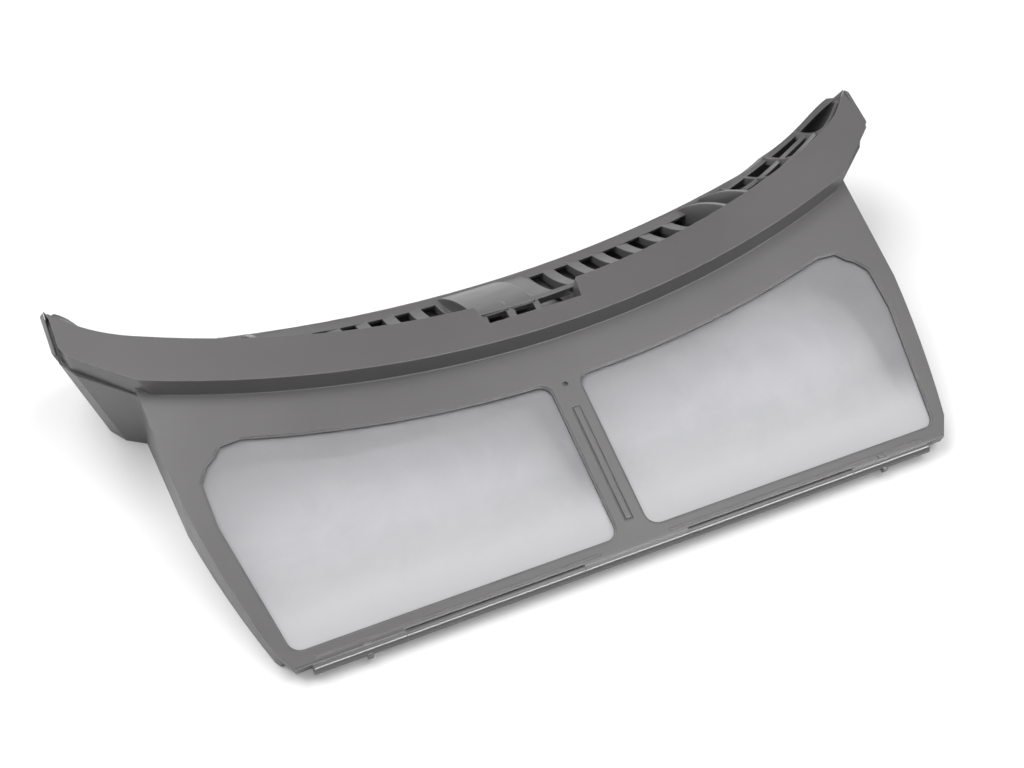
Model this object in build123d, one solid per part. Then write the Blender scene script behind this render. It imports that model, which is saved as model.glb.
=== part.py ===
from build123d import *
import os
from math import cos, sin, sqrt, tan, radians

os.makedirs("parts", exist_ok=True)

# A two-half lint filter lying on its back. X is the width, Y runs from the hinge edge to the grille, Z is up.
# All sizes in millimetres. Most of the part is drawn in the front face's own axes: u across, v up the face
# from the hinge edge, w out of the face.

# Wedge: the front face rises from the hinge edge at this angle over the flat back.
WEDGE = 17.6
EDGE_HEIGHT = 9.0
WALL = 2.2
GAP = 0.4

# Front face outline, half widths against height above the hinge edge. The windows' lower corners set the
# width: the sides, the hinge and the strip's ends are counted from them.
WINDOW_HALF = 157.8
CORNER_HALF = WINDOW_HALF + 1.2
SHOULDER = (WINDOW_HALF + 7.2, 10.0)
SIDE_MID = (WINDOW_HALF + 15.1, 42.0)
SIDE_BEND = (WINDOW_HALF + 22.7, 86.0)
SIDE_TOP = (WINDOW_HALF + 25.6, 145.0)

# Cover plate.
PLATE = 2.6
SKIRT = 5.0
SKIRT_WALL = 2.0

# Curved strip: a band on a cone, its step to the frame and its own lean.
STEP_CENTRE = 613.0
STEP_RADIUS = 504.6
STEP_DRAFT = 2.4
STRIP_RISE = 9.0
STRIP_LEAN = 0.2
STRIP_TOP = 133.0
STRIP_TOP_RADIUS = 445.0
STRIP_END = 17.2
STRIP_TOP_HALF = WINDOW_HALF + STRIP_END
NOTCH_HALF = 24.0
NOTCH_FLOOR = 122.5

# Ears of the cover: curl and tip counted from the end of the strip's arc, the blunt end from the tip.
EAR_CURL = (19.0, 10.4)
EAR_TIP = (34.5, 25.1)
EAR_CORNER = (-0.1, -20.4)
EAR_UNDER = (-2.6, -27.0)
EAR_ROOT = (-4.6, -3.0)

# Windows and their cloth.
WINDOW_LOW = 7.5
WINDOW_SIDE = (WINDOW_HALF + 11.5, 71.0)
WINDOW_EAR = (WINDOW_HALF + 12.0, 93.0)
OGEE_STEPS = ((4.4, 6.6), (8.6, 9.7), (12.2, 13.8))
OGEE_WIDTH = 21.8
OGEE_ROUND = 2.2
WINDOW_TOP = 86.9
WINDOW_TOP_RADIUS = 545.0
DIVIDER_HALF = 7.7
WINDOW_ROUND = 6.0
LIP_WIDTH = 0.8
LIP_DEPTH = 0.5
SEAT = 1.6
CLOTH = 0.4
REAR_WINDOW_SHIFT = 14.0

# Hinge along the bottom edge.
AXIS_V = -0.55
AXIS_W = -3.2
KNUCKLE_R = 3.0
PIN_R = 1.4
BORE_CLEAR = 0.06
PIN_REACH = 6.0
HINGE_CUTS = (5.8 - WINDOW_HALF, -111.0, -28.0, 23.5, 108.5, WINDOW_HALF - 7.8)
HINGE_PLAY = 0.4
STUDS = (-128.0, 125.0)
STUD_WIDTH = 2.4
STUD_OUT = -4.8
STUD_UP = 1.2
STUD_DOWN = 1.6
NUB = (0.6, 2.2, 0.6)

# Ridges beside the hinge and the rib on the divider.
RIDGES = ((7.8 - WINDOW_HALF, -19.0), (15.0, WINDOW_HALF - 9.8))
RIDGE_LOW = 2.0
RIDGE_WIDE = 1.0
DIVIDER_RIB = (2.8, 58.0)
DIVIDER_GROOVE = 0.7
PIP_RADIUS = 1.3
PIP_DEPTH = 1.4

# Rear wall: it stands square to the front face on a smile-shaped arc, and its top edge is the rim, level at
# first and then up round the ears. The ears' points are counted in from the tip and up from the level.
EAR_BACK = 6.0
SMILE_LOW = 177.2
SMILE_IN = 31.5
TIP_CUT_IN = 3.0
TIP_CUT_SLOPE = 45.0
RIM_LEVEL = -57.5
EAR_RIM = ((46.0, 0.0), (37.5, 2.3), (22.0, 14.5), (13.0, 29.0), (5.6, 44.8), (0.8, 50.3))
TAB_HALF = 24.0
TAB_OUT = 6.4
TAB_EDGE = 1.2

# Ears of the rear half: how far the wall stands off the cover's ear, and its foot counted from the tip.
EAR_GAP = 1.6
EAR_TOP_RISE = 1.5
EAR_FOOT = ((-17.5, 161.0), (-12.0, 170.0))
EAR_FOOT_TIP = -11.0

# Grille.
RIB_FIRST = 23.0
RIB_PITCH = 14.3
RIB_END = 19.6
RIB_COUNT = round((STRIP_TOP_HALF + RIB_END - RIB_FIRST) / RIB_PITCH) + 1
RIB = 6.2
RIB_DEPTH = 5.0
RIB_SAG = 6.0
RIB_LONGEST = 66.0
FINS = (7, 8)
FIN = 2.6
FIN_RISE = 9.5
FIN_DEPTH = 14.0
BAND_MID = 7.0
BAND_SIDE = 11.8
BAND_FAR = 114.0
BAND_TIP = 3.0
BAND_PROUD = 0.3
BAND_THICK = 2.4
LEDGE_LOW = -12.0
LEDGE_HIGH = -6.0
LEDGE_GAP = 0.6
BAR_FROM = 8
BAR_PLACES = (0.4, 0.75)

# Smooth panel and finger scoop behind the notch.
PANEL_SIDES = (-23.0, 8.0)
PANEL_MID = (150.4, -22.0)
PANEL_LIP = 0.7
SCOOP_SIDES = (8.0, 23.0)
SCOOP_MID = (150.4, -31.0)
SCOOP_LIP = -6.0
PANEL_SLOTS = (-14.0, 0.0)
SLOT_WIDE = 10.0
SLOT_FROM = 125.5
SLOT_TO = 133.0
VANES = (-22.3, -7.0, 7.0)
VANE = 1.4
VANE_RISE = 2.6
VANE_FADE = 0.8
VANE_DEPTH = 9.0

A = radians(WEDGE)
KNEE_V = STRIP_TOP + STRIP_TOP_RADIUS - sqrt(STRIP_TOP_RADIUS ** 2 - STRIP_TOP_HALF ** 2)
CURL = (STRIP_TOP_HALF + EAR_CURL[0], KNEE_V + EAR_CURL[1])
TIP = (STRIP_TOP_HALF + EAR_TIP[0], KNEE_V + EAR_TIP[1])
CORNER = (TIP[0] + EAR_CORNER[0], TIP[1] + EAR_CORNER[1])
UNDER = (TIP[0] + EAR_UNDER[0], TIP[1] + EAR_UNDER[1])
ROOT = (SIDE_TOP[0] + EAR_ROOT[0], SIDE_TOP[1] + EAR_ROOT[1])
WALL_TOP = TIP[1] + EAR_BACK
EAR_HALF = TIP[0] + EAR_GAP + WALL
SMILE_HALF = TIP[0] - SMILE_IN
RIM = ((0.0, RIM_LEVEL),) + tuple((TIP[0] - u, RIM_LEVEL + w) for u, w in EAR_RIM)
BAND = ((0.0, BAND_MID), (BAND_FAR, BAND_SIDE), (TIP[0], BAND_TIP))
STUD_Y = STUD_OUT * cos(A) - (AXIS_W + STUD_UP) * sin(A)
TOP_Y = WALL_TOP / cos(A) + EDGE_HEIGHT * tan(A)
EDGE_Y = -(TOP_Y + STUD_Y) / 2
FRONT = Plane(origin=(0, EDGE_Y, EDGE_HEIGHT), x_dir=(1, 0, 0), z_dir=(0, -sin(A), cos(A)))
FAR = 400.0


def place(shape):
    return shape.moved(FRONT.location)


def side_point(v, w):
    """Y and Z of a point given by its height and lift over the front face."""
    return (EDGE_Y + v * cos(A) - w * sin(A), EDGE_HEIGHT + v * sin(A) + w * cos(A))


def face_of(edges):
    return Face(Wire(edges))


def slab(face, low, high):
    """A plate in the front face's own axes."""
    return Solid.extrude(face.moved(Location((0, 0, low))), Vector(0, 0, high - low))


def flip(p):
    return (-p[0], *p[1:])


def between(table, x):
    """Value at x read from straight stretches between the points of a table."""
    x = abs(x)
    for (x0, y0), (x1, y1) in zip(table, table[1:]):
        if x <= x1:
            return y0 + (y1 - y0) * (x - x0) / (x1 - x0)
    return table[-1][1]


def frame_outline(inset, low, top):
    """Frame outline with its sides moved in, from the height low up to top."""
    corner = (CORNER_HALF - inset + (SHOULDER[0] - CORNER_HALF) * low / SHOULDER[1], low)
    if low >= SHOULDER[1]:
        corner = (SHOULDER[0] - inset, SHOULDER[1] - 0.5)
    shoulder = (SHOULDER[0] - inset, SHOULDER[1])
    mid = (SIDE_MID[0] - inset, SIDE_MID[1])
    bend = (SIDE_BEND[0] - inset, SIDE_BEND[1])
    slope = (SIDE_TOP[0] - SIDE_BEND[0]) / (SIDE_TOP[1] - SIDE_BEND[1])
    end = (bend[0] + slope * (top - bend[1]), top)
    return face_of([
        Line(flip(corner), corner),
        Line(corner, shoulder),
        ThreePointArc(shoulder, mid, bend),
        Line(bend, end),
        Line(end, flip(end)),
        Line(flip(end), flip(bend)),
        ThreePointArc(flip(bend), flip(mid), flip(shoulder)),
        Line(flip(shoulder), flip(corner)),
    ])


def strip_top(u):
    """Height of the strip's top edge."""
    u = abs(u)
    if u <= STRIP_TOP_HALF:
        return STRIP_TOP + STRIP_TOP_RADIUS - sqrt(STRIP_TOP_RADIUS ** 2 - u ** 2)
    return between(((STRIP_TOP_HALF, KNEE_V), CURL, TIP), u)


def top_edges(rise, reach):
    """The strip's top edge from the left tip to the right one, moved up by rise and its tips out by reach."""
    knee = (STRIP_TOP_HALF, KNEE_V + rise)
    curl = (CURL[0], CURL[1] + rise)
    tip = (TIP[0] + reach, TIP[1] + reach * 0.8 + rise)
    return [
        ThreePointArc(flip(tip), flip(curl), flip(knee)),
        ThreePointArc(flip(knee), (0, STRIP_TOP + rise), knee),
        ThreePointArc(knee, curl, tip),
    ], tip


def strip_region(inset):
    """Plan of the strip and its ears, with the notch, moved in by inset."""
    edges, tip = top_edges(-inset, -inset)
    root = (ROOT[0] - inset * 0.63, ROOT[1] + inset * 0.78)
    under = (UNDER[0] - inset * 0.85, UNDER[1] + inset * 0.6)
    corner = (CORNER[0] - inset, CORNER[1] + inset * 0.18)
    low = (120.0, 100.0)
    plan = face_of(edges + [
        Line(tip, corner),
        Line(corner, under),
        Line(under, root),
        Line(root, low),
        Line(low, flip(low)),
        Line(flip(low), flip(root)),
        Line(flip(root), flip(under)),
        Line(flip(under), flip(corner)),
        Line(flip(corner), flip(tip)),
    ])
    half = NOTCH_HALF + inset
    floor = NOTCH_FLOOR - inset
    notch = face_of(Polyline(
        (-half, floor), (half, floor), (half + 6, floor + 30), (-half - 6, floor + 30), close=True
    ).edges())
    return plan - notch


def band(step, lift, foot):
    """Ring sector with the strip's section: a step wall, then a face that leans back towards the centre."""
    outer = STEP_RADIUS - step
    brow = outer - STEP_DRAFT
    inner = 455.0
    section = face_of(Polyline(
        (outer, foot),
        (outer, 0),
        (brow, STRIP_RISE - lift),
        (inner, STRIP_RISE - lift - STRIP_LEAN * (brow - inner)),
        (inner, foot),
        close=True,
    ).edges())
    start = Plane(origin=(0, STEP_CENTRE, 0), x_dir=(0, -1, 0), z_dir=(-1, 0, 0))
    axis = Axis((0, STEP_CENTRE, 0), (0, 0, 1))
    ring = Solid.revolve(section.moved(start.location), 60, axis)
    return ring.rotate(axis, -30)


def window(side, grow):
    """One window, grown by the given amount all round."""
    top_half = WINDOW_EAR[0] - OGEE_WIDTH
    rise = WINDOW_TOP_RADIUS - sqrt(WINDOW_TOP_RADIUS ** 2 - top_half ** 2)
    inner_top = WINDOW_TOP_RADIUS - sqrt(WINDOW_TOP_RADIUS ** 2 - DIVIDER_HALF ** 2)
    mid_u = top_half / 2
    mid_top = WINDOW_TOP_RADIUS - sqrt(WINDOW_TOP_RADIUS ** 2 - mid_u ** 2)
    a = (DIVIDER_HALF, WINDOW_LOW)
    b = (WINDOW_HALF, WINDOW_LOW)
    c = WINDOW_SIDE
    d = WINDOW_EAR
    ogee = [(d[0] - du, d[1] + dv) for du, dv in OGEE_STEPS]
    e = (top_half, WINDOW_TOP + rise)
    f = (DIVIDER_HALF, WINDOW_TOP + inner_top)
    plan = Sketch() + face_of([
        Line(a, b),
        Line(b, c),
        Line(c, d),
        *Polyline(d, *ogee, e).edges(),
        ThreePointArc(e, (mid_u, WINDOW_TOP + mid_top), f),
        Line(f, a),
    ])
    corners = [v for v in plan.vertices() if v.X < DIVIDER_HALF + 1 or v.Y < WINDOW_LOW + 1]
    plan = fillet(corners, WINDOW_ROUND)
    bends = [v for v in plan.vertices() if v.X > top_half - 1 and v.Y > WINDOW_EAR[1] - 1]
    plan = fillet(bends, OGEE_ROUND)
    if grow:
        plan = offset(plan, grow)
    face = plan.faces()[0]
    return face if side > 0 else face.mirror(Plane.YZ)


def smile(u):
    """Height of the rear wall's outside on the front face's own axes."""
    rise = WALL_TOP - SMILE_LOW
    radius = (SMILE_HALF ** 2 + rise ** 2) / (2 * rise)
    return SMILE_LOW + radius - sqrt(radius ** 2 - min(abs(u), SMILE_HALF) ** 2)


def smile_region(inset):
    """Plan of all that lies in front of the rear wall's outside moved in by inset."""
    end = (SMILE_HALF, WALL_TOP - inset)
    bend = (TIP[0] - TIP_CUT_IN - inset * tan(radians(TIP_CUT_SLOPE / 2)), WALL_TOP - inset)
    far = (FAR, bend[1] - (FAR - bend[0]) * tan(radians(TIP_CUT_SLOPE)))
    low = (FAR, -FAR)
    return face_of([
        ThreePointArc(flip(end), (0, SMILE_LOW - inset), end),
        Line(end, bend),
        Line(bend, far),
        Line(far, low),
        Line(low, flip(low)),
        Line(flip(low), flip(far)),
        Line(flip(far), flip(bend)),
        Line(flip(bend), flip(end)),
    ])


def below_rim():
    """All that lies under the rim, which is level in the middle and curls up smoothly round the ears."""
    right = [(u, 0.0, w) for u, w in RIM[1:]]
    left = [flip(p) for p in reversed(right)]
    far = (FAR, 0.0, right[-1][2])
    low = (FAR, 0.0, -FAR)
    face = face_of([
        Line(left[-1], right[0]),
        Spline(right, tangents=((1, 0, 0), (1, 0, 1))),
        Line(right[-1], far),
        Line(far, low),
        Line(low, flip(low)),
        Line(flip(low), flip(far)),
        Line(flip(far), left[0]),
        Spline(left, tangents=((1, 0, -1), (1, 0, 0))),
    ])
    return Solid.extrude(face, Vector(0, FAR, 0))


def ear_hull(inset):
    """One blunt ear, its sloping side ruled from the floor to the front face, on the right."""
    low_v = 110.0
    wide = 150.0
    floor_y = low_v / cos(A) + EDGE_HEIGHT * tan(A)
    root_y = SIDE_TOP[1] / cos(A) + EDGE_HEIGHT * tan(A)
    top = [
        (wide, low_v),
        (SIDE_TOP[0] - inset, SIDE_TOP[1] + inset * 0.6),
        (UNDER[0] + 0.6 - inset, UNDER[1] - 1.8 + inset * 0.8),
        (EAR_HALF - 0.6 - inset, CORNER[1] + inset * 0.3),
        (EAR_HALF - inset, 280.0),
        (wide, 280.0),
    ]
    low = [
        (wide, floor_y),
        (SIDE_TOP[0] - inset, root_y + inset * 0.6),
        (TIP[0] + EAR_FOOT[0][0] - inset, EAR_FOOT[0][1] + inset * 0.8),
        (TIP[0] + EAR_FOOT[1][0] - inset, EAR_FOOT[1][1] + inset * 0.3),
        (TIP[0] + EAR_FOOT_TIP - inset, 280.0),
        (wide, 280.0),
    ]
    upper = Wire(Polyline(*top, close=True).edges()).moved(FRONT.offset(EAR_TOP_RISE).location)
    lower = Wire(Polyline(*[(x, y + EDGE_Y, 0) for x, y in low], close=True).edges())
    return Solid.make_loft([lower, upper], ruled=True)


def rib_ends(x):
    """Front top and rear top of the grille slope at one place along the width."""
    front = side_point(strip_top(x) + LEDGE_GAP + WALL / 2, LEDGE_HIGH)
    rear = side_point(smile(x) - WALL / 2, between(RIM, x) - 0.4)
    return front, rear


def slope_point(x, share):
    """Point of the grille slope at a share of the way from the rim to the ledge."""
    front, rear = rib_ends(x)
    span = sqrt((rear[0] - front[0]) ** 2 + (rear[1] - front[1]) ** 2)
    sag = RIB_SAG * span / RIB_LONGEST * 4 * share * (1 - share)
    y = rear[0] + (front[0] - rear[0]) * share
    z = rear[1] + (front[1] - rear[1]) * share - sag
    return (x, y, z)


def web(x, thick, front, mid, rear, depth):
    """Upright plate across the width with a curved top through three points and the same curve below it."""
    face = face_of([
        ThreePointArc((0, *front), (0, *mid), (0, *rear)),
        Line((0, *rear), (0, rear[0], rear[1] - depth)),
        ThreePointArc((0, rear[0], rear[1] - depth), (0, mid[0], mid[1] - depth), (0, front[0], front[1] - depth)),
        Line((0, front[0], front[1] - depth), (0, *front)),
    ])
    return Solid.extrude(face.moved(Location((x - thick / 2, 0, 0))), Vector(thick, 0, 0))


def rib(x, thick, rise, depth):
    """Grille rib standing across the slope."""
    front, rear = rib_ends(x)
    span = sqrt((rear[0] - front[0]) ** 2 + (rear[1] - front[1]) ** 2)
    mid = slope_point(x, 0.5)
    return web(x, thick, front, (mid[1], mid[2] + rise * span / RIB_LONGEST), rear, min(depth, span / 3))


def panel(sides, mid, lip, rise, fade, depth):
    """Smooth plate behind the notch, from the rim up to its lip, lifted at the lip and sunk from the middle on."""
    front = side_point(NOTCH_FLOOR + LEDGE_GAP, lip + rise)
    centre = side_point(mid[0], mid[1] - fade)
    rear = side_point(SMILE_LOW - WALL / 2, RIM[0][1] - 0.4 - fade)
    return web((sides[0] + sides[1]) / 2, sides[1] - sides[0], front, centre, rear, depth)


def rod(start, end, radius):
    """Round bar along the hinge axis in the front face's own axes."""
    plane = Plane((start, AXIS_V, AXIS_W), x_dir=(0, 1, 0), z_dir=(1, 0, 0))
    return Solid.make_cylinder(radius, end - start, plane)


def box(u0, u1, v0, v1, w0, w1):
    return Solid.make_box(u1 - u0, v1 - v0, w1 - w0, Plane((u0, v0, w0)))


# Front half, built flat in its own axes.
plate = slab(frame_outline(0, 0, 150), -PLATE, 0)
skirt = slab(frame_outline(0, 0, 150), -SKIRT, -PLATE)
skirt = skirt - slab(frame_outline(SKIRT_WALL, -20, 160), -SKIRT, -PLATE)
clear = Solid.make_cylinder(STEP_RADIUS - STEP_DRAFT - 0.6, 60, Plane((0, STEP_CENTRE, -30)))
flat = plate + skirt - clear
hood = band(0, 0, -SKIRT) & slab(strip_region(0), -SKIRT, 20)
hollow = band(WALL, WALL, -SKIRT - 1) & slab(strip_region(WALL), -SKIRT - 1, 20)
front = flat + (hood - hollow)
for side in (1, -1):
    front = front - slab(window(side, 0), -20, 20) - slab(window(side, SEAT), -PLATE - 9, -PLATE + CLOTH + 0.2)
    front = front - slab(window(side, LIP_WIDTH), -LIP_DEPTH, 5)
rib_mid = WINDOW_LOW + 6.5 + DIVIDER_RIB[1] / 2
groove = Rectangle(DIVIDER_RIB[0] + 2 * DIVIDER_GROOVE, DIVIDER_RIB[1] + 2 * DIVIDER_GROOVE).face()
front = front - slab(groove.moved(Location((0, rib_mid, 0))), -LIP_DEPTH, 5)
front = front + slab(Rectangle(*DIVIDER_RIB).face().moved(Location((0, rib_mid, 0))), -PLATE, 0.5)
front = front - Solid.make_cylinder(PIP_RADIUS, 20, Plane((0, WINDOW_TOP - 2.2, -PIP_DEPTH)))
for start, end in RIDGES:
    front = front + box(start, end, RIDGE_LOW, RIDGE_LOW + RIDGE_WIDE, -0.5, 0.5)

# Hinge: three knuckles of the cover between two barrels of the rear half.
barrels = [(HINGE_CUTS[1], HINGE_CUTS[2]), (HINGE_CUTS[3], HINGE_CUTS[4])]
knuckles = [(HINGE_CUTS[0], HINGE_CUTS[1]), (HINGE_CUTS[2], HINGE_CUTS[3]), (HINGE_CUTS[4], HINGE_CUTS[5])]
for start, end in ((HINGE_CUTS[-1], CORNER_HALF - LIP_DEPTH), (LIP_DEPTH - CORNER_HALF, HINGE_CUTS[0])):
    front = front + box(start, end, 0, SKIRT_WALL, -SKIRT, -PLATE / 2)
for start, end in barrels:
    front = front - rod(start - HINGE_PLAY, end + HINGE_PLAY, KNUCKLE_R + HINGE_PLAY)
for start, end in knuckles:
    front = front + rod(start, end, KNUCKLE_R)
for start, end in barrels:
    front = front + rod(start - 2, start + PIN_REACH, PIN_R) + rod(end - PIN_REACH, end + 2, PIN_R)
for u in STUDS:
    front = front + box(u - STUD_WIDTH / 2, u + STUD_WIDTH / 2, STUD_OUT, AXIS_V, AXIS_W - STUD_DOWN, AXIS_W + STUD_UP)
    front = front + box(u - STUD_WIDTH * 0.7, u + STUD_WIDTH * 0.7, NUB[0], NUB[1], -0.5, NUB[2])
front = place(front)

# Rear half: a tub with blunt ears, open under the cover and closed by the rear wall below the rim.
tub = slab(frame_outline(0, 7, 260), -120, -SKIRT - GAP)
room = slab(frame_outline(WALL, 7 + WALL, 260), -120, 30)
below = Solid.make_box(2 * FAR, 2 * FAR, FAR, Plane((-FAR, -FAR, -FAR)))
ear = ear_hull(0)
pocket = ear_hull(WALL)
cover_edges, cover_tip = top_edges(LEDGE_GAP, EAR_GAP)
cover_plan = face_of(cover_edges + [
    *Polyline(
        cover_tip,
        (cover_tip[0], CORNER[1] - 1),
        (FAR, CORNER[1] - 20),
        (FAR, -60),
        (-FAR, -60),
        (-FAR, CORNER[1] - 20),
        (-cover_tip[0], CORNER[1] - 1),
        flip(cover_tip),
    ).edges()
])
notch_room = box(0.8 - NOTCH_HALF, NOTCH_HALF - 0.8, NOTCH_FLOOR + LEDGE_GAP, STRIP_TOP + 9, -SKIRT - GAP, 60)
cover_space = place(slab(cover_plan, -SKIRT - GAP, 60) - notch_room)
outer = place(tub) - below + ear + ear.mirror(Plane.YZ)
outer = outer & place(slab(smile_region(0), -150, 60))
inner = place(room) + pocket + pocket.mirror(Plane.YZ)
inner = inner - below.moved(Location((0, 0, WALL)))
rear = outer - inner - cover_space
wall = slab(smile_region(0), -150, 60) - slab(smile_region(WALL), -150, 60)
rear = rear + (outer & place(wall & below_rim()))

# Grille: a ledge under the strip's edge, a band inside the rim and ribs between them.
ledge_front, front_tip = top_edges(LEDGE_GAP, WALL)
ledge_back, back_tip = top_edges(LEDGE_GAP + WALL, WALL)
ledge = slab(face_of(ledge_front + [Line(front_tip, back_tip)] + ledge_back + [
    Line(flip(back_tip), flip(front_tip))
]), LEDGE_LOW, LEDGE_HIGH)
outside = []
inside = []
stations = [0.0, BAND_FAR / 2, BAND_FAR] + [u for u, w in RIM[1:]]
for x in [-u for u in reversed(stations[1:])] + stations:
    front_end, rear_end = rib_ends(x)
    span = sqrt((rear_end[0] - front_end[0]) ** 2 + (rear_end[1] - front_end[1]) ** 2)
    lift = Vector(0, 0, BAND_PROUD)
    outside.append(Vector(*slope_point(x, 0)) + lift)
    inside.append(Vector(*slope_point(x, min(between(BAND, x) / span, 0.6))) + lift)
rim_band = Solid.extrude(Face.make_surface_from_curves(Spline(outside), Spline(inside)), FRONT.z_dir * -BAND_THICK)
pieces = [place(ledge), rim_band]
for i in range(RIB_COUNT):
    for side in (1, -1):
        x = side * (RIB_FIRST + i * RIB_PITCH)
        if i in FINS:
            pieces.append(rib(x, FIN, FIN_RISE, FIN_DEPTH))
        else:
            pieces.append(rib(x, RIB if i < FINS[0] else FIN, 0, RIB_DEPTH))
for side in (1, -1):
    for share in BAR_PLACES:
        points = []
        for i in range(BAR_FROM, RIB_COUNT):
            x, y, z = slope_point(RIB_FIRST + i * RIB_PITCH, share)
            points.append((side * x, y, z - 2.6))
        path = Spline(points)
        section = Plane(origin=path @ 0, x_dir=(0, 0, 1), z_dir=path % 0) * Rectangle(4, 2.4)
        pieces.append(sweep(section, path).solid())
plate = panel(PANEL_SIDES, PANEL_MID, PANEL_LIP, 0, 0, BAND_THICK)
for u in PANEL_SLOTS:
    plate = plate - place(box(u - SLOT_WIDE / 2, u + SLOT_WIDE / 2, SLOT_FROM, SLOT_TO, -30, 20))
pieces.append(plate)
pieces.append(panel(SCOOP_SIDES, SCOOP_MID, SCOOP_LIP, 0, 0, BAND_THICK))
for u in VANES:
    pieces.append(panel((u - VANE / 2, u + VANE / 2), PANEL_MID, PANEL_LIP, VANE_RISE, VANE_FADE, VANE_DEPTH))
grille = []
for piece in pieces:
    grille.extend(((piece & outer) - cover_space).solids())
rear = rear.fuse(*grille)

# Flat tab on the floor behind the middle of the rim.
tab_y, tab_z = side_point(SMILE_LOW, RIM[0][1] - 0.4)
tab = face_of(Polyline(
    (0, tab_y - WALL / 2, 0),
    (0, tab_y + TAB_OUT, 0),
    (0, tab_y + TAB_OUT, TAB_EDGE),
    (0, tab_y, tab_z),
    (0, tab_y - WALL / 2, tab_z),
    close=True,
).edges())
rear = rear + Solid.extrude(tab.moved(Location((-TAB_HALF, 0, 0))), Vector(2 * TAB_HALF, 0, 0))

# Windows in the back plate and the hinge barrels.
back = Plane((0, EDGE_Y + REAR_WINDOW_SHIFT, 0))
for side in (1, -1):
    hole = window(side, 0).moved(back.location)
    seat = window(side, SEAT).moved(back.location)
    rear = rear - Solid.extrude(hole.moved(Location((0, 0, -5))), Vector(0, 0, 12))
    rear = rear - Solid.extrude(seat.moved(Location((0, 0, WALL - CLOTH - 0.2))), Vector(0, 0, 1))
axis_y, axis_z = side_point(AXIS_V, AXIS_W)
for start, end in barrels:
    foot = Solid.make_box(end - start, 14, axis_z, Plane((start, axis_y, 0)))
    keep = place(box(start, end, AXIS_V, 9, AXIS_W - 8, AXIS_W))
    rear = rear + place(rod(start, end, KNUCKLE_R)) + (foot & keep)
    bore = PIN_R + BORE_CLEAR
    rear = rear - place(rod(start - 1, start + PIN_REACH + 1, bore) + rod(end - PIN_REACH - 1, end + 1, bore))

export_step(front, "parts/front_frame.step")
export_step(rear, "parts/rear_frame.step")
for side, name in ((1, "right"), (-1, "left")):
    sheet = window(side, SEAT - 0.2)
    cloth = place(slab(sheet, -PLATE + 0.2, -PLATE + CLOTH + 0.2))
    export_step(cloth, f"parts/front_mesh_{name}.step")
    low = sheet.moved(back.location).moved(Location((0, 0, WALL - CLOTH - 0.2)))
    export_step(Solid.extrude(low, Vector(0, 0, CLOTH)), f"parts/rear_mesh_{name}.step")
for name, shape in (("front", front), ("rear", rear)):
    size = shape.bounding_box()
    print(name, len(shape.solids()), shape.is_valid, round(shape.volume), size.min, size.max)
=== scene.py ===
import bpy
import math
from mathutils import Matrix, Vector


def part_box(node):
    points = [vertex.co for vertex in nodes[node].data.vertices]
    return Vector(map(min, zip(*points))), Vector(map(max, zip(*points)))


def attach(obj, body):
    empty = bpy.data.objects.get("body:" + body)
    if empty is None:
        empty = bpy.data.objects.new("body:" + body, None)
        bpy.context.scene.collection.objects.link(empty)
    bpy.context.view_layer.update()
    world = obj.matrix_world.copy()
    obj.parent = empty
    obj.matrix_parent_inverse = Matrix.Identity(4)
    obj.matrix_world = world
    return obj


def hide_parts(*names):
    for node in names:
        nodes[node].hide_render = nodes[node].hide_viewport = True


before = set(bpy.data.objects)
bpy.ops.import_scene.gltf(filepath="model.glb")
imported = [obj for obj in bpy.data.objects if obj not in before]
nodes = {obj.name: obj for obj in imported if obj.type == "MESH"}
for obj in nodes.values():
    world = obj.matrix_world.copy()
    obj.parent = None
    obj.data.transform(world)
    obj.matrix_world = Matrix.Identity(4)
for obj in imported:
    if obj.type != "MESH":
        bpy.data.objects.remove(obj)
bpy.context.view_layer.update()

# Slope of the front face and place of its hinge edge, in metres.
WEDGE = math.radians(17.6)
EDGE_Y = -0.10433

# Plastic: tone, the paler colour painted on edges as a highlight, and how far that painted highlight reaches.
GREY = (0.116, 0.112, 0.1135, 1)
EDGE_HIGHLIGHT = (0.25, 0.243, 0.245, 1)
EDGE_HIGHLIGHT_REACH = 0.0008
# The hinge edge is polished: its roughness falls to this share between these two distances behind the edge.
HINGE_POLISH = 0.42
POLISH_FROM = 0.0016
POLISH_FULL = 0.0006

# Cloth: tones, least cover of the weave, and the stretch above the lower edge, made denser and painted paler as
# painted light.
THREAD = (0.61, 0.61, 0.63, 1)
THREAD_GAP = (0.52, 0.52, 0.54, 1)
THREAD_GLOW = (0.78, 0.78, 0.795, 1)
COVER = 0.5
COVER_GAIN = 0.16
PAINTED_LIGHT_TONE = (0.98, 0.98, 0.985, 1)
PAINTED_LIGHT_FROM = -0.012
PAINTED_LIGHT_FULL = -0.042
PAINTED_LIGHT_COVER = 0.42
UNEVEN = 0.03
CLOTH_GRID = (110, 66)
CUT_SPARE = 0.004
# Slack of the cloth between its edges: name, size of the waves and their depth.
SLACK_WAVES = (("billow", 0.045, 0.0012), ("crease", 0.014, 0.0004))

# Camera, fitted to the photograph: focal length and picture width in pixels, place and directions.
FOCAL = 1500
PICTURE_WIDTH = 1024
CAMERA_PLACE = (-0.2153, -0.3468 + EDGE_Y, 0.5345)
CAMERA_RIGHT = (0.9150, -0.4036, 0.0)
CAMERA_FORWARD = (0.2788, 0.6324, -0.7227)


# Helpers for modelling by hand.

def clear_selection():
    if bpy.context.object and bpy.context.object.mode != "OBJECT":
        bpy.ops.object.mode_set(mode="OBJECT")
    bpy.ops.object.select_all(action="DESELECT")


def take(obj):
    clear_selection()
    obj.select_set(True)
    bpy.context.view_layer.objects.active = obj


def apply_modifiers(obj):
    take(obj)
    for modifier in list(obj.modifiers):
        bpy.ops.object.modifier_apply(modifier=modifier.name)


# Node building helpers.

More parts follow.
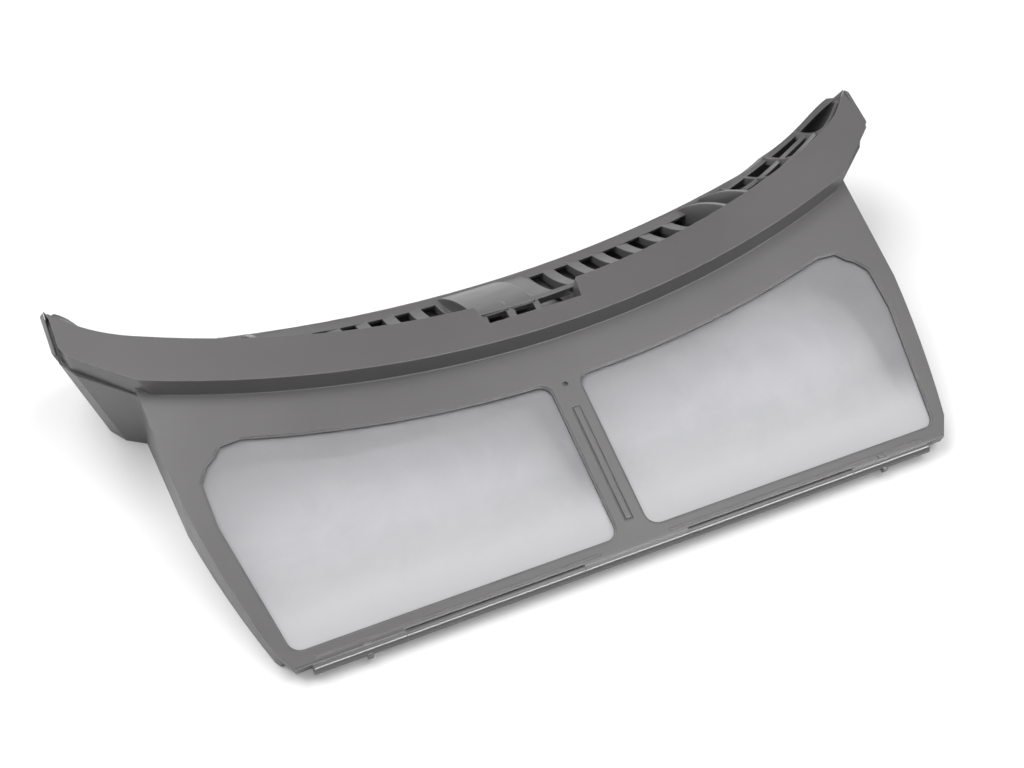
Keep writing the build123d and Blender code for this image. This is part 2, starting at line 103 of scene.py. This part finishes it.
def add(tree, kind, place, **values):
    node = tree.nodes.new(kind)
    node.location = place
    for name, value in values.items():
        if hasattr(node, name):
            setattr(node, name, value)
        else:
            node.inputs[name].default_value = value
    return node


def wire(tree, a, out, b, into):
    tree.links.new(a.outputs[out], b.inputs[into])


def spread(tree, place, from_min, from_max, to_min, to_max, **values):
    """Map Range node that takes one range to another."""
    return add(tree, "ShaderNodeMapRange", place, **values, **{
        "From Min": from_min, "From Max": from_max, "To Min": to_min, "To Max": to_max})


def new_group(name, takes, gives):
    group = bpy.data.node_groups.new(name, "ShaderNodeTree")
    for label, kind, value in takes:
        socket = group.interface.new_socket(label, in_out="INPUT", socket_type=kind)
        socket.default_value = value
    for label, kind in gives:
        group.interface.new_socket(label, in_out="OUTPUT", socket_type=kind)
    return group, add(group, "NodeGroupInput", (-900, 0)), add(group, "NodeGroupOutput", (900, 0))


def moulded_surface():
    """Tone drift, fine spark grain and a painted highlight along the edges of a moulded plastic."""
    group, inside, out = new_group(
        "moulded_surface",
        [("Colour", "NodeSocketColor", (0.2, 0.2, 0.2, 1)), ("Edge highlight", "NodeSocketColor", (0.4, 0.4, 0.4, 1)),
         ("Edge", "NodeSocketFloat", 0.0005), ("Grain", "NodeSocketFloat", 0.06)],
        [("Colour", "NodeSocketColor"), ("Roughness", "NodeSocketFloat"), ("Normal", "NodeSocketVector")],
    )
    coords = add(group, "ShaderNodeTexCoord", (-900, -300))
    drift = add(group, "ShaderNodeTexNoise", (-650, 200), Scale=14.0, Detail=3.0, Roughness=0.5)
    grain = add(group, "ShaderNodeTexNoise", (-650, -100), Scale=2600.0, Detail=2.0, Roughness=0.6)
    scuff = add(group, "ShaderNodeTexNoise", (-650, -400), Scale=90.0, Detail=6.0, Roughness=0.65)
    for noise in (drift, grain, scuff):
        wire(group, coords, "Object", noise, "Vector")
    tone = spread(group, (-400, 250), 0.3, 0.7, 0.93, 1.07)
    wire(group, drift, "Fac", tone, "Value")
    tint = add(group, "ShaderNodeVectorMath", (-200, 250), operation="SCALE")
    wire(group, inside, "Colour", tint, "Vector")
    wire(group, tone, "Result", tint, "Scale")
    bevel = add(group, "ShaderNodeBevel", (-650, -650), samples=6)
    wire(group, inside, "Edge", bevel, "Radius")
    flat = add(group, "ShaderNodeNewGeometry", (-650, -850))
    same = add(group, "ShaderNodeVectorMath", (-400, -700), operation="DOT_PRODUCT")
    wire(group, bevel, "Normal", same, 0)
    wire(group, flat, "Normal", same, 1)
    edge = spread(group, (-200, -700), 0.995, 0.86, 0.0, 1.0)
    wire(group, same, "Value", edge, "Value")
    # Painted highlight: edges found by the bevel normal are lightened toward the edge highlight colour, broken up
    # by the scuff noise.
    highlight_breakup = spread(group, (-400, -450), 0.35, 0.65, 0.25, 0.8)
    wire(group, scuff, "Fac", highlight_breakup, "Value")
    highlight_mask = add(group, "ShaderNodeMath", (0, -600), operation="MULTIPLY")
    wire(group, edge, "Result", highlight_mask, 0)
    wire(group, highlight_breakup, "Result", highlight_mask, 1)
    mix = add(group, "ShaderNodeMix", (250, 200), data_type="RGBA")
    wire(group, highlight_mask, "Value", mix, "Factor")
    group.links.new(tint.outputs["Vector"], mix.inputs[6])
    group.links.new(inside.outputs["Edge highlight"], mix.inputs[7])
    group.links.new(mix.outputs[2], out.inputs["Colour"])
    rough = spread(group, (0, -100), 0.3, 0.7, 0.3, 0.38)
    wire(group, scuff, "Fac", rough, "Value")
    wire(group, rough, "Result", out, "Roughness")
    bump = add(group, "ShaderNodeBump", (250, -350), Distance=0.00006)
    wire(group, inside, "Grain", bump, "Strength")
    wire(group, grain, "Fac", bump, "Height")
    wire(group, bevel, "Normal", bump, "Normal")
    wire(group, bump, "Normal", out, "Normal")
    return group


def woven_cloth():
    """Plain weave of fine threads: light on them, dark and open between, denser near the lower edge, where light
    is painted on as a paler tone.
    """
    group, inside, out = new_group(
        "woven_cloth",
        [("Thread", "NodeSocketColor", (0.8, 0.8, 0.8, 1)), ("Gap", "NodeSocketColor", (0.6, 0.6, 0.6, 1)),
         ("Pitch", "NodeSocketFloat", 0.0004), ("Cover", "NodeSocketFloat", 0.6)],
        [("Colour", "NodeSocketColor"), ("Alpha", "NodeSocketFloat"), ("Normal", "NodeSocketVector")],
    )
    uv = add(group, "ShaderNodeUVMap", (-900, -300), uv_map="weave")
    split = add(group, "ShaderNodeSeparateXYZ", (-700, -300))
    wire(group, uv, "UV", split, "Vector")
    threads = []
    for row, axis in enumerate(("X", "Y")):
        count = add(group, "ShaderNodeMath", (-500, -200 - 250 * row), operation="DIVIDE")
        wire(group, split, axis, count, 0)
        wire(group, inside, "Pitch", count, 1)
        turn = add(group, "ShaderNodeMath", (-330, -200 - 250 * row), operation="MULTIPLY")
        turn.inputs[1].default_value = 2 * math.pi
        wire(group, count, "Value", turn, 0)
        wave = add(group, "ShaderNodeMath", (-160, -200 - 250 * row), operation="SINE")
        wire(group, turn, "Value", wave, 0)
        threads.append(wave)
    over = add(group, "ShaderNodeMath", (0, -300), operation="MAXIMUM")
    wire(group, threads[0], "Value", over, 0)
    wire(group, threads[1], "Value", over, 1)
    level = spread(group, (160, -300), -1.0, 1.0, 0.0, 1.0)
    wire(group, over, "Value", level, "Value")
    mix = add(group, "ShaderNodeMix", (350, 150), data_type="RGBA")
    wire(group, level, "Result", mix, "Factor")
    group.links.new(inside.outputs["Gap"], mix.inputs[6])
    group.links.new(inside.outputs["Thread"], mix.inputs[7])
    cover = add(group, "ShaderNodeMath", (350, -50), operation="MULTIPLY_ADD")
    wire(group, level, "Result", cover, 0)
    cover.inputs[1].default_value = COVER_GAIN
    wire(group, inside, "Cover", cover, 2)
    # Painted light: above the lower edge the weave turns denser and its colour is mixed toward a pale tone.
    painted_light = spread(group, (160, -80), PAINTED_LIGHT_FROM, PAINTED_LIGHT_FULL, 0.0, PAINTED_LIGHT_COVER, interpolation_type="SMOOTHSTEP")
    wire(group, split, "Y", painted_light, "Value")
    uneven = add(group, "ShaderNodeMath", (450, -150), operation="ADD")
    wire(group, cover, "Value", uneven, 0)
    dense = add(group, "ShaderNodeMath", (550, -50), operation="ADD", use_clamp=True)
    wire(group, uneven, "Value", dense, 0)
    wire(group, painted_light, "Result", dense, 1)
    lit_tone = add(group, "ShaderNodeMix", (550, 150), data_type="RGBA")
    lit_tone.inputs[7].default_value = PAINTED_LIGHT_TONE
    wire(group, painted_light, "Result", lit_tone, "Factor")
    group.links.new(mix.outputs[2], lit_tone.inputs[6])
    group.links.new(lit_tone.outputs[2], out.inputs["Colour"])
    wire(group, dense, "Value", out, "Alpha")
    crease = add(group, "ShaderNodeTexNoise", (0, -650), Scale=26.0, Detail=4.0, Roughness=0.6, Distortion=0.6)
    wire(group, uv, "UV", crease, "Vector")
    patch = spread(group, (350, -250), 0.35, 0.65, -UNEVEN, UNEVEN)
    wire(group, crease, "Fac", patch, "Value")
    wire(group, patch, "Result", uneven, 1)
    soft = add(group, "ShaderNodeBump", (350, -550), Strength=0.35, Distance=0.002)
    wire(group, crease, "Fac", soft, "Height")
    fine = add(group, "ShaderNodeBump", (550, -400), Strength=0.25, Distance=0.00008)
    wire(group, level, "Result", fine, "Height")
    wire(group, soft, "Normal", fine, "Normal")
    wire(group, fine, "Normal", out, "Normal")
    return group


MOULDED = moulded_surface()
WOVEN = woven_cloth()


def plastic(name, colour, highlight_colour, edge):
    """Moulded plastic, smoother along the hinge edge."""
    material = bpy.data.materials.new(name)
    material.use_nodes = True
    tree = material.node_tree
    shader = tree.nodes["Principled BSDF"]
    surface = add(tree, "ShaderNodeGroup", (-300, 0), node_tree=MOULDED)
    surface.inputs["Colour"].default_value = colour
    # Paler colour painted along the edges as a highlight.
    surface.inputs["Edge highlight"].default_value = highlight_colour
    surface.inputs["Edge"].default_value = edge
    wire(tree, surface, "Colour", shader, "Base Color")
    wire(tree, surface, "Normal", shader, "Normal")
    coords = add(tree, "ShaderNodeTexCoord", (-900, -300))
    split = add(tree, "ShaderNodeSeparateXYZ", (-700, -300))
    wire(tree, coords, "Object", split, "Vector")
    hinge = spread(tree, (-500, -300), EDGE_Y + POLISH_FROM, EDGE_Y + POLISH_FULL, 1.0, HINGE_POLISH)
    wire(tree, split, "Y", hinge, "Value")
    polish = add(tree, "ShaderNodeMath", (-100, -200), operation="MULTIPLY")
    wire(tree, surface, "Roughness", polish, 0)
    wire(tree, hinge, "Result", polish, 1)
    wire(tree, polish, "Value", shader, "Roughness")
    shader.inputs["Specular IOR Level"].default_value = 0.5
    return material


def lint_cloth_material():
    """Threads that let some light through, over an open weave that blurs what lies behind it."""
    material = bpy.data.materials.new("lint_cloth")
    material.use_nodes = True
    tree = material.node_tree
    shader = tree.nodes["Principled BSDF"]
    weave = add(tree, "ShaderNodeGroup", (-300, 0), node_tree=WOVEN)
    weave.inputs["Thread"].default_value = THREAD
    weave.inputs["Gap"].default_value = THREAD_GAP
    weave.inputs["Cover"].default_value = COVER
    wire(tree, weave, "Colour", shader, "Base Color")
    wire(tree, weave, "Normal", shader, "Normal")
    shader.inputs["Roughness"].default_value = 0.7
    shader.inputs["Sheen Weight"].default_value = 0.1
    through = add(tree, "ShaderNodeBsdfTranslucent", (0, -500), Color=THREAD_GLOW)
    wire(tree, weave, "Normal", through, "Normal")
    thread = add(tree, "ShaderNodeMixShader", (250, -250), Fac=0.35)
    tree.links.new(shader.outputs["BSDF"], thread.inputs[1])
    tree.links.new(through.outputs["BSDF"], thread.inputs[2])
    clear = add(tree, "ShaderNodeBsdfTransparent", (0, -700))
    blur = add(tree, "ShaderNodeBsdfRefraction", (0, -850), Roughness=0.16, IOR=1.0)
    path = add(tree, "ShaderNodeLightPath", (0, -1050))
    open_weave = add(tree, "ShaderNodeMixShader", (250, -650))
    wire(tree, path, "Is Shadow Ray", open_weave, 0)
    tree.links.new(blur.outputs["BSDF"], open_weave.inputs[1])
    tree.links.new(clear.outputs["BSDF"], open_weave.inputs[2])
    cover = add(tree, "ShaderNodeMixShader", (480, -250))
    wire(tree, weave, "Alpha", cover, 0)
    tree.links.new(open_weave.outputs["Shader"], cover.inputs[1])
    tree.links.new(thread.outputs["Shader"], cover.inputs[2])
    wire(tree, cover, "Shader", tree.nodes["Material Output"], "Surface")
    return material


grey_plastic = plastic("grey_plastic", GREY, EDGE_HIGHLIGHT, EDGE_HIGHLIGHT_REACH)
cloth_look = lint_cloth_material()

for name in ("rear_frame", "front_frame"):
    mesh = nodes[name].data
    mesh.materials.clear()
    mesh.materials.append(grey_plastic)


def lint_cloth(node, name, body, tilt):
    """Woven panel: a fine grid cut to the seat's outline, slightly slack between its welded edges."""
    low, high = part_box(node)
    centre = (Vector(low) + Vector(high)) / 2
    turn = Matrix.Translation(centre) @ Matrix.Rotation(tilt, 4, "X")
    width = high[0] - low[0]
    length = (high[1] - low[1]) / math.cos(tilt)
    clear_selection()
    bpy.ops.mesh.primitive_grid_add(x_subdivisions=CLOTH_GRID[0], y_subdivisions=CLOTH_GRID[1], size=1)
    cloth = bpy.context.object
    cloth.name = name
    bpy.ops.transform.resize(value=(width + CUT_SPARE, length + CUT_SPARE, 1))
    bpy.ops.object.transform_apply(location=False, rotation=False, scale=True)
    cloth.data.transform(turn)
    take(nodes[node])
    bpy.ops.object.duplicate()
    cutter = bpy.context.object
    cutter.parent = None
    cutter.data.transform(turn.inverted())
    cutter.data.transform(Matrix.Diagonal((1, 1, 30, 1)))
    cutter.data.transform(turn)
    bpy.ops.object.mode_set(mode="EDIT")
    bpy.ops.mesh.select_all(action="SELECT")
    bpy.ops.mesh.remove_doubles(threshold=0.00001)
    bpy.ops.mesh.normals_make_consistent(inside=False)
    bpy.ops.object.mode_set(mode="OBJECT")
    cut = cloth.modifiers.new("outline", "BOOLEAN")
    cut.operation = "INTERSECT"
    cut.object = cutter
    cut.solver = "EXACT"
    apply_modifiers(cloth)
    bpy.data.objects.remove(cutter)
    flat = [turn.inverted() @ v.co for v in cloth.data.vertices]
    slack = cloth.vertex_groups.new(name="slack")
    for i, p in enumerate(flat):
        x = max(0.0, 1 - abs(p.x) / (width / 2))
        y = max(0.0, 1 - abs(p.y) / (length / 2))
        slack.add([i], min(1.0, 5 * x) * min(1.0, 3 * y), "REPLACE")
    for label, size, depth in SLACK_WAVES:
        texture = bpy.data.textures.new(f"{name}_{label}", "CLOUDS")
        texture.noise_scale = size
        push = cloth.modifiers.new(label, "DISPLACE")
        push.texture = texture
        push.texture_coords = "LOCAL"
        push.strength = depth
        push.mid_level = 0.5
        push.vertex_group = "slack"
    apply_modifiers(cloth)
    uv = cloth.data.uv_layers.new(name="weave")
    for loop in cloth.data.loops:
        p = flat[loop.vertex_index]
        uv.data[loop.index].uv = (p.x, p.y)
    take(cloth)
    bpy.ops.object.shade_smooth()
    cloth.data.materials.clear()
    cloth.data.materials.append(cloth_look)
    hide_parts(node)
    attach(cloth, body)


for side in ("left", "right"):
    lint_cloth(f"front_mesh_{side}", f"front_cloth_{side}", "front_half", WEDGE)
    lint_cloth(f"rear_mesh_{side}", f"rear_cloth_{side}", "rear_half", 0.0)


# Floor, light and camera.

def studio_floor():
    """Pale paper floor, lifted to white for the camera only."""
    clear_selection()
    bpy.ops.mesh.primitive_plane_add(size=8, location=(0, 0, -0.0003))
    floor = bpy.context.object
    floor.name = "floor"
    material = bpy.data.materials.new("floor_white")
    material.use_nodes = True
    tree = material.node_tree
    tree.nodes.clear()
    out = add(tree, "ShaderNodeOutputMaterial", (600, 0))
    paper = add(tree, "ShaderNodeBsdfPrincipled", (0, 100))
    paper.inputs["Base Color"].default_value = (0.84, 0.84, 0.84, 1)
    paper.inputs["Roughness"].default_value = 0.3
    paper.inputs["Specular IOR Level"].default_value = 0.2
    glow = add(tree, "ShaderNodeEmission", (0, -150), Color=(1, 1, 1, 1))
    path = add(tree, "ShaderNodeLightPath", (-500, -150))
    amount = add(tree, "ShaderNodeMath", (-250, -150), operation="MULTIPLY")
    wire(tree, path, "Is Camera Ray", amount, 0)
    amount.inputs[1].default_value = 0.14
    wire(tree, amount, "Value", glow, "Strength")
    both = add(tree, "ShaderNodeAddShader", (350, 0))
    wire(tree, paper, "BSDF", both, 0)
    wire(tree, glow, "Emission", both, 1)
    wire(tree, both, "Shader", out, "Surface")
    floor.data.materials.append(material)


def soft_lamp(name, place, target, size, power, sheen_only=False):
    """Rectangular lamp aimed at a point. A lamp for sheen only adds no diffuse light."""
    data = bpy.data.lights.new(name, "AREA")
    data.shape = "RECTANGLE"
    data.size, data.size_y = size
    data.energy = power
    lamp = bpy.data.objects.new(name, data)
    bpy.context.scene.collection.objects.link(lamp)
    lamp.location = place
    lamp.rotation_euler = (Vector(target) - Vector(place)).to_track_quat("-Z", "Y").to_euler()
    lamp.visible_diffuse = not sheen_only


def white_world():
    """White backdrop for the camera, dimmer as a light."""
    world = bpy.data.worlds.new("studio")
    bpy.context.scene.world = world
    world.use_nodes = True
    tree = world.node_tree
    back = tree.nodes["Background"]
    path = add(tree, "ShaderNodeLightPath", (-600, 0))
    level = add(tree, "ShaderNodeMapRange", (-300, 0), **{"To Min": 0.45, "To Max": 1.0})
    wire(tree, path, "Is Camera Ray", level, "Value")
    back.inputs["Color"].default_value = (1, 1, 1, 1)
    wire(tree, level, "Result", back, "Strength")


studio_floor()
white_world()
soft_lamp("overhead", (-0.55, 0.4, 1.5), (0, 0, 0), (1.3, 0.9), 17)
soft_lamp("sheen_card", (0.5, -0.36, 1.5), (0, -0.05, 0), (1.2, 0.7), 9)
soft_lamp("hinge_strip", (0.45, -1.2, 0.9), (0, -0.1, 0), (1.8, 0.4), 40, sheen_only=True)

lens = bpy.data.cameras.new("camera")
lens.sensor_width = 36
lens.sensor_fit = "HORIZONTAL"
lens.lens = lens.sensor_width * FOCAL / PICTURE_WIDTH
lens.clip_start = 0.01
camera = bpy.data.objects.new("camera", lens)
bpy.context.scene.collection.objects.link(camera)
right = Vector(CAMERA_RIGHT)
forward = Vector(CAMERA_FORWARD).normalized()
up = right.cross(forward).normalized()
right = forward.cross(up).normalized()
turned = Matrix((right, up, -forward)).transposed().to_4x4()
camera.matrix_world = Matrix.Translation(CAMERA_PLACE) @ turned
bpy.context.scene.camera = camera
bpy.context.scene.view_settings.view_transform = "Standard"
